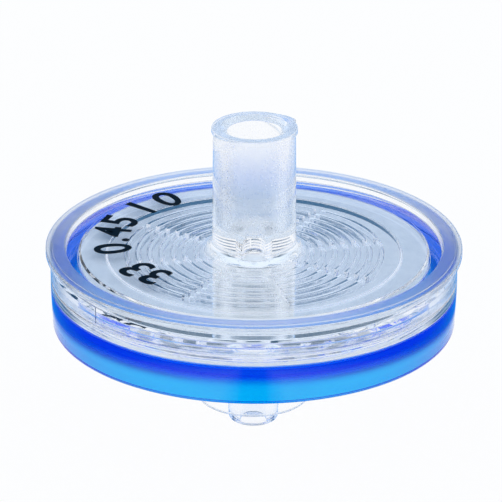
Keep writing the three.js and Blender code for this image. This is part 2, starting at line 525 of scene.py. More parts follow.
class SurfaceTree(Bench):
    """A material's node tree with its output and Principled shader in place."""

    def __init__(self, name: str) -> None:
        """Makes an empty material.

        Args:
            name: The material's name.
        """
        self.material = bpy.data.materials.new(name)
        self.material.use_nodes = True
        super().__init__(self.material.node_tree)
        self.tree.nodes.clear()
        self.output = self.node("ShaderNodeOutputMaterial")
        self.shader = self.node("ShaderNodeBsdfPrincipled")
        self.feed(self.output.inputs["Surface"], self.shader.outputs[0])
        self.place = self.node("ShaderNodeTexCoord").outputs["Object"]

    def set(self, **values: object) -> None:
        """Feeds the Principled shader's inputs; an underscore in a name stands for a space."""
        for name, value in values.items():
            self.feed(self.shader.inputs[name.replace("_", " ")], value)

    def stretched(self, x: float, y: float, z: float) -> bpy.types.NodeSocket:
        """The place on the piece, scaled along each axis."""
        return self.node("ShaderNodeMapping", {"Vector": self.place, "Scale": (x, y, z)}).outputs[0]

    def noise(self, scale: float, detail: float = 3.0, at: object = None) -> bpy.types.NodeSocket:
        """Noise from 0 to 1 with a scale in grains per metre, at the piece's own place unless given."""
        inputs = {"Vector": at or self.place, "Scale": scale, "Detail": detail}
        return self.node("ShaderNodeTexNoise", inputs).outputs["Fac"]

    def between(
        self, value: object, low: float, high: float, to_low: float = 0.0, to_high: float = 1.0
    ) -> bpy.types.NodeSocket:
        """Maps a value from one range to another, clamped."""
        inputs = {0: value, 1: low, 2: high, 3: to_low, 4: to_high}
        return self.node("ShaderNodeMapRange", inputs).outputs[0]

    def band(self, value: object, low: float, high: float, fade: float) -> bpy.types.NodeSocket:
        """Tells where a value lies in a band.

        Args:
            value: The value.
            low: The band's lower edge.
            high: The band's upper edge.
            fade: Half the width of its soft edges.

        Returns:
            1 in the band and 0 outside it.
        """
        return self.maths(
            "MINIMUM",
            self.between(value, low - fade, low + fade),
            self.between(value, high - fade, high + fade, 1.0, 0.0),
        )

    def bump(
        self, height: object, strength: float, distance: float, below: object = None
    ) -> bpy.types.NodeSocket:
        """Bumps the surface by a height.

        Args:
            height: The height from 0 to 1.
            strength: Share of the bump that shows.
            distance: Full height in metres.
            below: Another bump's normal to build on.

        Returns:
            The bumped normal.
        """
        inputs = {"Strength": strength, "Distance": distance, "Height": height}
        if below is not None:
            inputs["Normal"] = below
        return self.node("ShaderNodeBump", inputs).outputs[0]


@dataclass(frozen=True)
class Frost:
    """Stretch of a mould that was left matt: a band of radii and heights, in millimetres."""

    roughness: float
    inner: float
    outer: float
    low: float
    high: float
    fade: float = 0.05
    unevenness: tuple[float, float] = (0.95, 1.05)
    grain_range: tuple[float, float] = (0.3, 0.7)

    def roughness_on(
        self, work: SurfaceTree, grain: bpy.types.NodeSocket
    ) -> bpy.types.NodeSocket:
        """Builds the band's roughness.

        Args:
            work: The material's tree.
            grain: Fine noise that makes the band uneven.

        Returns:
            The roughness inside the band, and 0 outside it.
        """
        x, y, height = work.node("ShaderNodeSeparateXYZ", {0: work.place}).outputs
        radius = work.distance(x, y)
        fade = self.fade * MM
        inside = work.band(radius, self.inner * MM, self.outer * MM, fade)
        level = work.band(height, self.low * MM, self.high * MM, fade)
        least, most = (share * self.roughness for share in self.unevenness)
        uneven = work.between(grain, *self.grain_range, least, most)
        return work.maths("MULTIPLY", work.maths("MINIMUM", inside, level), uneven)


@dataclass(frozen=True)
class ClearPlastic:
    """Water-clear moulded styrene plastic with faint flow marks and fine handling scratches."""

    name: str = "clear_moulded_plastic"
    ior: float = 1.53
    tint: Colour = (0.985, 0.99, 1.0, 1.0)
    polish: float = 0.012
    haze: float = 0.035
    scratched: float = 0.05
    flow_scale: float = 420.0
    grain_scale: float = 5200.0
    scratch_scale: float = 2600.0
    flow_height: float = 0.0018 * MM
    scratch_depth: float = 0.002 * MM
    scratch_strength: float = 0.25
    scratch_run: float = 0.12
    scratch_range: tuple[float, float] = (0.66, 0.72)
    grain_range: tuple[float, float] = (0.4, 0.8)
    frosts: tuple[Frost, ...] = ()

    def material(self) -> bpy.types.Material:
        """Builds the material.

        Returns:
            The material.
        """
        work = SurfaceTree(self.name)
        flow = work.noise(self.flow_scale, 2.0)
        grain = work.noise(self.grain_scale, 2.0)
        scratches = work.noise(self.scratch_scale, 1.0, work.stretched(self.scratch_run, 1.0, 1.0))
        scratch = work.between(scratches, *self.scratch_range)
        rough = work.maths(
            "ADD",
            work.between(grain, *self.grain_range, self.polish, self.haze),
            work.maths("MULTIPLY", scratch, self.scratched),
        )
        for frost in self.frosts:
            rough = work.maths("MAXIMUM", rough, frost.roughness_on(work, grain))
        wave = work.bump(flow, 1.0, self.flow_height)
        work.set(
            Base_Color=self.tint,
            Roughness=rough,
            Normal=work.bump(scratch, self.scratch_strength, self.scratch_depth, wave),
            IOR=self.ior,
            Transmission_Weight=1.0,
        )
        return work.material


@dataclass(frozen=True)
class BluePlastic:
    """Transparent plastic with a blue dye all through it."""

    name: str = "blue_dyed_plastic"
    ior: float = 1.53
    dye: Colour = (0.0, 0.91, 0.9985, 1.0)
    strength: float = 7000.0
    polish: float = 0.03
    haze: float = 0.1
    flow_scale: float = 300.0
    grain_scale: float = 4200.0
    scratch_scale: float = 3000.0
    flow_height: float = 0.006 * MM
    scratch_depth: float = 0.003 * MM
    scratch_strength: float = 0.3
    scratch_run: float = 0.1
    scratch_range: tuple[float, float] = (0.64, 0.7)
    grain_range: tuple[float, float] = (0.35, 0.8)
    frosts: tuple[Frost, ...] = ()

    def material(self) -> bpy.types.Material:
        """Builds the material.

        Returns:
            The material.
        """
        work = SurfaceTree(self.name)
        flow = work.noise(self.flow_scale, 2.0)
        grain = work.noise(self.grain_scale, 3.0)
        scratches = work.noise(self.scratch_scale, 1.0, work.stretched(1.0, 1.0, self.scratch_run))
        scratch = work.between(scratches, *self.scratch_range)
        wave = work.bump(flow, 1.0, self.flow_height)
        rough = work.between(grain, *self.grain_range, self.polish, self.haze)
        for frost in self.frosts:
            rough = work.maths("MAXIMUM", rough, frost.roughness_on(work, grain))
        work.set(
            Base_Color=(1.0, 1.0, 1.0, 1.0),
            Roughness=rough,
            Normal=work.bump(scratch, self.scratch_strength, self.scratch_depth, wave),
            IOR=self.ior,
            Transmission_Weight=1.0,
        )
        dye = work.node("ShaderNodeVolumeAbsorption", {"Color": self.dye, "Density": self.strength})
        work.feed(work.output.inputs["Volume"], dye.outputs[0])
        return work.material


@dataclass(frozen=True)
class MembranePaper:
    """Matt white cast membrane with a fine felted surface."""

    name: str = "white_membrane"
    pale: Colour = (0.93, 0.93, 0.925, 1.0)
    deep: Colour = (0.84, 0.845, 0.85, 1.0)
    cloud_scale: float = 900.0
    fibre_scale: float = 9000.0
    fibre_height: float = 0.01 * MM
    fibre_strength: float = 0.5
    noise_range: tuple[float, float] = (0.3, 0.7)
    roughness: tuple[float, float] = (0.82, 0.98)
    specular: float = 0.25

    def material(self) -> bpy.types.Material:
        """Builds the material.

        Returns:
            The material.
        """
        work = SurfaceTree(self.name)
        clouds = work.noise(self.cloud_scale, 4.0)
        fibres = work.noise(self.fibre_scale, 4.0)
        work.set(
            Base_Color=work.blend(work.between(clouds, *self.noise_range), self.pale, self.deep),
            Roughness=work.between(fibres, *self.noise_range, *self.roughness),
            Normal=work.bump(fibres, self.fibre_strength, self.fibre_height),
            Specular_IOR_Level=self.specular,
        )
        return work.material


@dataclass(frozen=True)
class PrintedInk:
    """Pad-printed near-black ink with a slightly uneven coat."""

    name: str = "black_print_ink"
    full: Colour = (0.006, 0.006, 0.006, 1.0)
    thin: Colour = (0.012, 0.011, 0.010, 1.0)
    patch_scale: float = 3000.0
    grain_scale: float = 9000.0
    grain_height: float = 0.003 * MM
    grain_strength: float = 0.3
    thin_range: tuple[float, float] = (0.4, 0.7)
    noise_range: tuple[float, float] = (0.3, 0.7)
    roughness: tuple[float, float] = (0.35, 0.55)
    specular: float = 0.03

    def material(self) -> bpy.types.Material:
        """Builds the material.

        Returns:
            The material.
        """
        work = SurfaceTree(self.name)
        patches = work.noise(self.patch_scale, 3.0)
        grain = work.noise(self.grain_scale, 2.0)
        work.set(
            Base_Color=work.blend(work.between(patches, *self.thin_range), self.full, self.thin),
            Roughness=work.between(patches, *self.noise_range, *self.roughness),
            Normal=work.bump(grain, self.grain_strength, self.grain_height),
            Specular_IOR_Level=self.specular,
        )
        return work.material


# ---------------------------------------------------------------- the filter's own pieces


class Flow(Enum):
    """Side of the membrane that a shell serves."""

    INLET = "inlet"
    OUTLET = "outlet"


@dataclass(frozen=True)
class Heights:
    """Levels and radii that the pieces share, in millimetres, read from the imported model."""

    mouth: float
    parting: float
    weld: float
    seal: float
    clamp: float
    tip: float
    body_radius: float
    lip_radius: float
    membrane_radius: float

    @classmethod
    def read(cls) -> "Heights":
        """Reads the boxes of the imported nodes.

        Returns:
            The levels and radii.
        """
        inlet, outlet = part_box("inlet_housing"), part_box("outlet_housing")
        membrane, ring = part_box("membrane"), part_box("colour_ring")
        return cls(
            mouth=inlet[1].z / MM,
            parting=inlet[0].z / MM,
            weld=inlet[0].z / MM - WELD_OVERLAP,
            seal=membrane[1].z / MM,
            clamp=membrane[0].z / MM,
            tip=outlet[0].z / MM,
            body_radius=ring[1].x / MM,
            lip_radius=inlet[1].x / MM,
            membrane_radius=membrane[1].x / MM,
        )


@dataclass
class RibField:
    """Broken ring ribs on one shell, in millimetres."""

    first_radius: float
    pitch: float
    rings: int
    crest_width: float
    root_width: float
    height: float = 0.5
    root_depth: float = 0.05
    edge_round: float = 0.06
    facets: int = 176
    channels: int = 8
    channel_width: float = 0.6
    channel_angle: float = 14.0
    channel_start: float = 1.4

    def sizes(self, flow: Flow, root: float, crest: float, reach: float) -> dict[str, float]:
        """Gives the rib tree's inputs.

        Args:
            flow: The shell's side of the membrane.
            root: Height of the face that the ribs grow from.
            crest: Height of their crests.
            reach: Radius at which the channels end.

        Returns:
            The inputs by name, in metres and radians.
        """
        down = flow is Flow.INLET
        buried = root + (self.root_depth if down else -self.root_depth)
        upper = (self.root_width, buried) if down else (self.crest_width, crest)
        lower = (self.crest_width, crest) if down else (self.root_width, buried)
        return {
            "Rings": self.rings,
            "First radius": self.first_radius * MM,
            "Pitch": self.pitch * MM,
            "Upper width": upper[0] * MM,
            "Upper height": upper[1] * MM,
            "Lower width": lower[0] * MM,
            "Lower height": lower[1] * MM,
            "Edge round": self.edge_round * MM,
            "Facets": self.facets,
            "Channels": self.channels,
            "Channel width": self.channel_width * MM,
            "Channel start": self.channel_start * MM,
            "Channel end": reach * MM,
            "Channel angle": math.radians(self.channel_angle),
        }


@dataclass
class LuerLugs:
    """Two locking thread starts beside the inlet's mouth, in millimetres."""

    count: int = 2
    start_angle: float = 29.0
    sweep: float = 56.0
    reach: float = 3.72
    root: float = 2.94
    faded: float = 3.09
    tall_end: float = 1.3
    lead: float = 5.0
    below_mouth: float = 0.07
    edge_round: float = 0.06
    steps: int = 28

    def build(self, mouth: float) -> bpy.types.Object:
        """Lofts the lugs.

        Args:
            mouth: Height of the tube's mouth.

        Returns:
            Both lugs as one object.
        """
        strips = []
        for index in range(self.count):
            rings = []
            for step in range(self.steps + 1):
                along = step / self.steps
                degrees = self.start_angle + index * FULL_TURN / self.count + along * self.sweep
                reach = self.reach + (self.faded - self.reach) * along**2
                under = mouth - self.tall_end + self.lead * self.sweep * along / FULL_TURN
                top = mouth - self.below_mouth
                section = Outline(
                    Corner(self.root, under),
                    Corner(reach, under, self.edge_round),
                    Corner(reach, top, self.edge_round),
                    Corner(self.root, top),
                ).points(guarded=False)
                rings.append([at_angle(r, z, degrees) for r, z in section])
            strips.append(rings)
        return lofted("luer_lugs", strips)


@dataclass
class MouldLine:
    """Fine upright ridge that the mould's joint left on the skirt, in millimetres."""

    angle: float = 221.0
    foot_angle: float = 0.42
    crest_angle: float = 0.16
    proud: float = 0.06
    root: float = 0.08
    above_parting: float = 0.2
    height: float = 1.35

    def build(self, levels: Heights) -> bpy.types.Object:
        """Lofts the ridge.

        Args:
            levels: The shared levels.

        Returns:
            The ridge.
        """
        foot, crest = levels.body_radius - self.root, levels.body_radius + self.proud
        corners = (
            (foot, -self.foot_angle),
            (crest, -self.crest_angle),
            (crest, self.crest_angle),
            (foot, self.foot_angle),
        )
        low = levels.parting + self.above_parting
        rings = [
            [at_angle(radius, height, self.angle + turn) for radius, turn in corners]
            for height in (low, low + self.height)
        ]
        return lofted("mould_line", [rings])


@dataclass
class InletHousing:
    """Upper clear shell: luer tube with lugs, plate with ribs, raised rim and flange."""

    levels: Heights
    ribs: RibField
    lugs: LuerLugs
    seam: MouldLine
    segments: int = 240
    chamber_radius: float = 11.75
    channel_margin: float = 0.4
    pocket_radius: float = 14.0
    ceiling: float = 0.5
    plate: float = 1.07
    edge_round: float = 0.16
    rim_rise: float = 0.43
    rim_width: float = 1.6
    rim_draft: float = 0.04
    rim_round: float = 0.14
    groove_depth: float = 0.15
    groove_width: float = 1.18
    bevel: float = 0.15
    lip_thickness: float = 0.5
    lip_step: float = 0.07
    lip_width: float = 0.5
    lip_round: float = 0.1
    tube_base: float = 3.35
    tube_top: float = 3.24
    tube_fillet: float = 0.95
    bead_radius: float = 3.38
    bead_height: float = 0.42
    bead_round: float = 0.07
    socket_mouth: float = 2.155
    socket_taper: float = 0.03
    socket_depth: float = 8.3
    chamfer_width: float = 0.55
    chamfer_depth: float = 0.32
    passage: float = 0.9
    passage_drop: float = 0.35
    passage_flare: float = 0.5
    mouth_round: float = 0.04
    socket_round: float = 0.1
    chamber_round: float = 0.2
    groove_round: float = 0.06
    inner_round: float = 0.08
    soft_round: float = 0.05
    fine_round: float = 0.03
    socket_matt: float = 0.28
    end_matt: float = 0.12
    rim_matt: float = 0.42
    socket_matt_radius: float = 2.45
    end_matt_radii: tuple[float, float] = (2.3, 3.26)
    end_matt_depth: float = 0.3
    matt_below: float = 0.1
    matt_above: float = 1.0

    @property
    def ceiling_height(self) -> float:
        """Height of the face that the ribs hang from."""
        return self.levels.seal + self.ceiling

    @property
    def plateau(self) -> float:
        """Height of the top face inside the groove."""
        return self.ceiling_height + self.plate

    def matt_stretches(self) -> tuple[Frost, ...]:
        """Lists the stretches that the mould left matt.

        Returns:
            The socket, the tube's end face, and the flat top of the rim.
        """
        mouth, lip = self.levels.mouth, self.levels.lip_radius
        rim = self.plateau + self.rim_rise
        inner, outer = self.end_matt_radii
        return (
            Frost(
                roughness=self.socket_matt,
                inner=0.0,
                outer=self.socket_matt_radius,
                low=mouth - self.socket_depth - self.matt_below,
                high=mouth + self.matt_above,
            ),
            Frost(
                roughness=self.end_matt,
                inner=inner,
                outer=outer,
                low=mouth - self.end_matt_depth,
                high=mouth + self.matt_above,
            ),
            Frost(
                roughness=self.rim_matt,
                inner=lip - self.rim_width,
                outer=lip + self.matt_above,
                low=rim - self.matt_below,
                high=rim + self.matt_above,
            ),
        )

    def outline(self) -> Outline:
        """Draws the shell's turned section.

        Returns:
            The section's corners.
        """
        at = self.levels
        rim = self.plateau + self.rim_rise
        lip = rim - self.lip_step
        groove = self.plateau - self.groove_depth
        rim_inner = at.lip_radius - self.rim_width
        plateau_radius = rim_inner - self.groove_width
        floor = at.mouth - self.socket_depth
        cone_length = self.socket_depth - self.chamfer_depth
        floor_radius = self.socket_mouth - self.socket_taper * cone_length
        return Outline(
            Corner(self.socket_mouth + self.chamfer_width, at.mouth, self.mouth_round),
            Corner(self.socket_mouth, at.mouth - self.chamfer_depth, self.inner_round),
            Corner(floor_radius, floor, self.socket_round),
            Corner(self.passage, floor - self.passage_drop, self.inner_round),
            Corner(self.passage, self.ceiling_height, self.passage_flare),
            Corner(self.chamber_radius, self.ceiling_height, self.chamber_round),
            Corner(self.chamber_radius, at.seal, self.soft_round),
            Corner(self.pocket_radius, at.seal, self.fine_round),
            Corner(self.pocket_radius, at.weld, self.fine_round),
            Corner(at.body_radius, at.weld, self.edge_round),
            Corner(at.body_radius, lip - self.lip_thickness, self.inner_round),
            Corner(at.lip_radius, lip - self.lip_thickness, self.lip_round),
            Corner(at.lip_radius, lip, self.lip_round),
            Corner(at.lip_radius - self.lip_width, lip, self.fine_round),
            Corner(at.lip_radius - self.lip_width, rim, self.fine_round),
            Corner(rim_inner + self.rim_draft, rim, self.rim_round),
            Corner(rim_inner, groove, self.groove_round),
            Corner(plateau_radius + self.bevel, groove, self.soft_round),
            Corner(plateau_radius, self.plateau, self.soft_round),
            Corner(self.tube_base, self.plateau, self.tube_fillet),
            Corner(self.tube_top, at.mouth - self.bead_height, self.fine_round),
            Corner(self.bead_radius, at.mouth - self.bead_height, self.fine_round),
            Corner(self.bead_radius, at.mouth, self.bead_round),
        )

    def build(self, finish: bpy.types.Material) -> bpy.types.Object:
        """Makes the shell as one closed mesh.

        Args:
            finish: Its material.

        Returns:
            The shell.
        """
        shell = turned("inlet_shell", self.outline(), self.segments)
        lugs = self.lugs.build(self.levels.mouth)
        seam = self.seam.build(self.levels)
        joined(shell, lugs, seam)
        reach = self.chamber_radius - self.channel_margin
        sizes = self.ribs.sizes(Flow.INLET, self.ceiling_height, self.levels.seal, reach)
        RingRibs.add(shell, finish, sizes)
        settled(shell, lugs, seam)
        return shell


@dataclass
class CollarThread:
    """Two-start thread inside the outlet's locking collar, in millimetres."""

    starts: int = 2
    root: float = 4.1
    sunk: float = 0.1
    crest: float = 3.56
    root_width: float = 1.15
    crest_width: float = 0.4
    lead: float = 5.0
    turns: float = 0.8
    below_end: float = 0.75
    fade: float = 0.08
    steps_per_turn: int = 72

    def build(self, collar_end: float) -> bpy.types.Object:
        """Lofts the thread starts.

        Args:
            collar_end: Height of the collar's open end.

        Returns:
            All the starts as one object.
        """
        steps = round(self.turns * self.steps_per_turn)
        flat = self.root - self.sunk
        strips = []
        for start in range(self.starts):
            rings = []
            for step in range(steps + 1):
                along = step / steps
                degrees = start * FULL_TURN / self.starts + along * self.turns * FULL_TURN
                middle = collar_end + self.below_end + along * self.turns * self.lead
                full = min(1.0, along / self.fade, (1 - along) / self.fade)
                crest = flat - (flat - self.crest) * math.sin(full * math.pi / 2)
                section = (
                    (self.root, self.root_width / 2),
                    (crest, self.crest_width / 2),
                    (crest, -self.crest_width / 2),
                    (self.root, -self.root_width / 2),
                )
                rings.append([at_angle(radius, middle + z, degrees) for radius, z in section])
            strips.append(rings)
        return lofted("collar_thread", strips)


@dataclass
class OutletHousing:
    """Lower clear shell: ribbed drain disc, ring seat, male luer tip and locking collar."""

    levels: Heights
    ribs: RibField
    thread: CollarThread
    segments: int = 240
    chamber_radius: float = 11.75
    channel_margin: float = 0.3
    drain_depth: float = 0.5
    flange: float = 0.9
    floor: float = 1.75
    edge_round: float = 0.16
    hub_radius: float = 12.4
    passage: float = 1.05
    passage_flare: float = 0.5
    tip_radius: float = 1.97
    tip_round: float = 0.25
    tip_taper: float = 0.03
    tip_projection: float = 2.05
    collar_radius: float = 4.62
    collar_end_radius: float = 4.5
    collar_bore: float = 3.98
    collar_fillet: float = 0.6
    roof: float = 1.2
    passage_round: float = 0.06
    roof_round: float = 0.15
    collar_inner_round: float = 0.08
    collar_outer_round: float = 0.12
    hub_round: float = 0.15
    seat_round: float = 0.03
    pocket_round: float = 0.02
    clamp_round: float = 0.05
    chamber_round: float = 0.2

    def outline(self) -> Outline:
        """Draws the shell's turned section.

        Returns:
            The section's corners.
        """
        at = self.levels
        drain = at.clamp - self.drain_depth
        seat = at.parting - self.flange
        disc = drain - self.floor
        collar_end = at.tip + self.tip_projection
        roof = disc - self.roof
        cone_root = self.tip_radius + self.tip_taper * (roof - at.tip)
        return Outline(
            Corner(self.passage, drain, self.passage_flare),
            Corner(self.passage, at.tip, self.passage_round),
            Corner(self.tip_radius, at.tip, self.tip_round),
            Corner(cone_root, roof, self.roof_round),
            Corner(self.collar_bore, roof, self.roof_round),
            Corner(self.collar_bore, collar_end, self.collar_inner_round),
            Corner(self.collar_end_radius, collar_end, self.collar_outer_round),
            Corner(self.collar_radius, disc, self.collar_fillet),
            Corner(self.hub_radius, disc, self.hub_round),
            Corner(self.hub_radius, seat, self.seat_round),
            Corner(at.body_radius, seat, self.edge_round),
            Corner(at.body_radius, at.parting, self.edge_round),
            Corner(at.membrane_radius, at.parting, self.pocket_round),
            Corner(at.membrane_radius, at.clamp, self.pocket_round),
            Corner(self.chamber_radius, at.clamp, self.clamp_round),
            Corner(self.chamber_radius, drain, self.chamber_round),
        )

    def build(self, finish: bpy.types.Material) -> bpy.types.Object:
        """Makes the shell as one closed mesh.

        Args:
            finish: Its material.

        Returns:
            The shell.
        """
        at = self.levels
        shell = turned("outlet_shell", self.outline(), self.segments)
        thread = self.thread.build(at.tip + self.tip_projection)
        joined(shell, thread)
        drain = at.clamp - self.drain_depth
        reach = self.chamber_radius - self.channel_margin
        RingRibs.add(shell, finish, self.ribs.sizes(Flow.OUTLET, drain, at.clamp, reach))
        settled(shell, thread)
        return shell


@dataclass
class Membrane:
    """White disc held between the shells, with a hair of air on each face."""

    levels: Heights
    air: float = 0.012
    edge_round: float = 0.03
    segments: int = 200

    def build(self, finish: bpy.types.Material) -> bpy.types.Object:
        """Makes the disc.

        Args:
            finish: Its material.

        Returns:
            The disc.
        """
        at = self.levels
        low, high = at.clamp + self.air, at.seal - self.air
        radius = at.membrane_radius - self.air
        outline = Outline(
            Corner(0.0, low),
            Corner(radius, low, self.edge_round),
            Corner(radius, high, self.edge_round),
            Corner(0.0, high),
        )
        disc = turned("membrane_disc", outline, self.segments)
        disc.data.materials.append(finish)
        settled(disc)
        return disc


@dataclass
class ColourRing:
    """Blue ring with a thick ledge under the outlet flange and a thinner skirt below it."""

    levels: Heights
    flange: float = 0.9
    air: float = 0.012
    height: float = 3.18
    ledge_width: float = 3.65
    ledge: float = 1.25
    skirt: float = 1.1
    draft: float = 0.12
    inner_round: float = 1.3
    bottom_round: float = 0.2
    edge_round: float = 0.08
    seat_round: float = 0.04
    bore_round: float = 0.08
    skirt_round: float = 0.06
    matt: float = 0.42
    matt_reach: float = 0.1
    segments: int = 256

    @property
    def hollow_radius(self) -> float:
        """Radius of the hollow under the ledge."""
        return self.levels.body_radius - self.skirt

    @property
    def ledge_height(self) -> float:
        """Height of the ledge's underside."""
        return self.levels.parting - self.flange - self.ledge

    def matt_hollow(self) -> Frost:
        """Describes the matt wall of the hollow.

        Returns:
            The matt stretch.
        """
        return Frost(
            roughness=self.matt,
            inner=0.0,
            outer=self.hollow_radius + self.matt_reach,
            low=self.levels.tip,
            high=self.ledge_height + self.matt_reach,
        )

    def build(self, finish: bpy.types.Material) -> bpy.types.Object:
        """Makes the ring.

        Args:
            finish: Its material.

        Returns:
            The ring.
        """
        at = self.levels
        seat = at.parting - self.flange
        bottom = seat - self.height
        ledge = self.ledge_height
        bore = at.body_radius - self.ledge_width
        inner = self.hollow_radius
        ring = turned(
            "blue_ring",
            Outline(
                Corner(bore, seat - self.air, self.seat_round),
                Corner(bore, ledge, self.bore_round),
                Corner(inner, ledge, self.inner_round),
                Corner(inner, bottom, self.skirt_round),
                Corner(at.body_radius - self.draft, bottom, self.bottom_round),
                Corner(at.body_radius, seat - self.air, self.edge_round),
            ),
            self.segments,
        )
        ring.data.materials.append(finish)
        settled(ring)
        return ring


@dataclass
class PrintedNumbers:
    """Plain numbers pad-printed round the left of the top disc, in millimetres."""

    levels: Heights
    face: float
    groups: tuple[tuple[str, float, float], ...] = (
        ("33", 225.5, 1.0),
        ("0.45", 176.0, 1.12),
        ("10", 132.0, 1.35),
    )
    centre: Point = (-1.67, 1.83)
    base_radius: float = 8.35
    height: float = 2.9
    figure_share: float = 0.7  # a figure's height as a share of the type's size
    curve_steps: int = 6
    stroke: float = 0.08
    film: float = 0.012
    sink: float = 0.004

    def _flat(self, text: str, spacing: float) -> bpy.types.Mesh:
        """Makes one group of numbers as a thin flat mesh at the origin.

        Args:
            text: The numbers.
            spacing: The pitch of the numbers as a share of the type's own.

        Returns:
            The mesh, in millimetres, centred on X with its foot at Y 0.
        """
        curve = bpy.data.curves.new("numbers", "FONT")
        curve.body = text
        curve.align_x = "CENTER"
        curve.size = self.height / self.figure_share
        curve.space_character = spacing
        curve.offset = self.stroke
        curve.extrude = (self.film + self.sink) / 2
        curve.resolution_u = self.curve_steps
        words = bpy.data.objects.new("numbers", curve)
        bpy.context.scene.collection.objects.link(words)
        graph = bpy.context.evaluated_depsgraph_get()
        mesh = bpy.data.meshes.new_from_object(words.evaluated_get(graph))
        bpy.data.curves.remove(curve)
        return mesh

    def build(self, finish: bpy.types.Material) -> bpy.types.Object:
        """Bends the numbers round the axis, with their tops outwards.

        Args:
            finish: Its material.

        Returns:
            The print as one object.
        """
        made = bpy.data.meshes.new("printed_numbers")
        work = bmesh.new()
        reading = self.base_radius + self.height / 2
        raised = self.face + (self.film - self.sink) / 2
        shift = Vector((*self.centre, 0.0))
        for text, middle, spacing in self.groups:
            flat = self._flat(text, spacing)
            first = len(work.verts)
            work.from_mesh(flat)
            bpy.data.meshes.remove(flat)
            for vert in list(work.verts)[first:]:
                x, y, z = vert.co
                turn = middle - math.degrees(x / reading)
                bent = Vector(at_angle(self.base_radius + y, raised + z, turn))
                vert.co = (bent + shift) * MM
        bmesh.ops.remove_doubles(work, verts=work.verts, dist=SAME_PLACE)
        bmesh.ops.recalc_face_normals(work, faces=work.faces)
        work.to_mesh(made)
        work.free()
        printed = bpy.data.objects.new("printed_numbers", made)
        bpy.context.scene.collection.objects.link(printed)
        made.materials.append(finish)
        return printed


# ---------------------------------------------------------------- stage


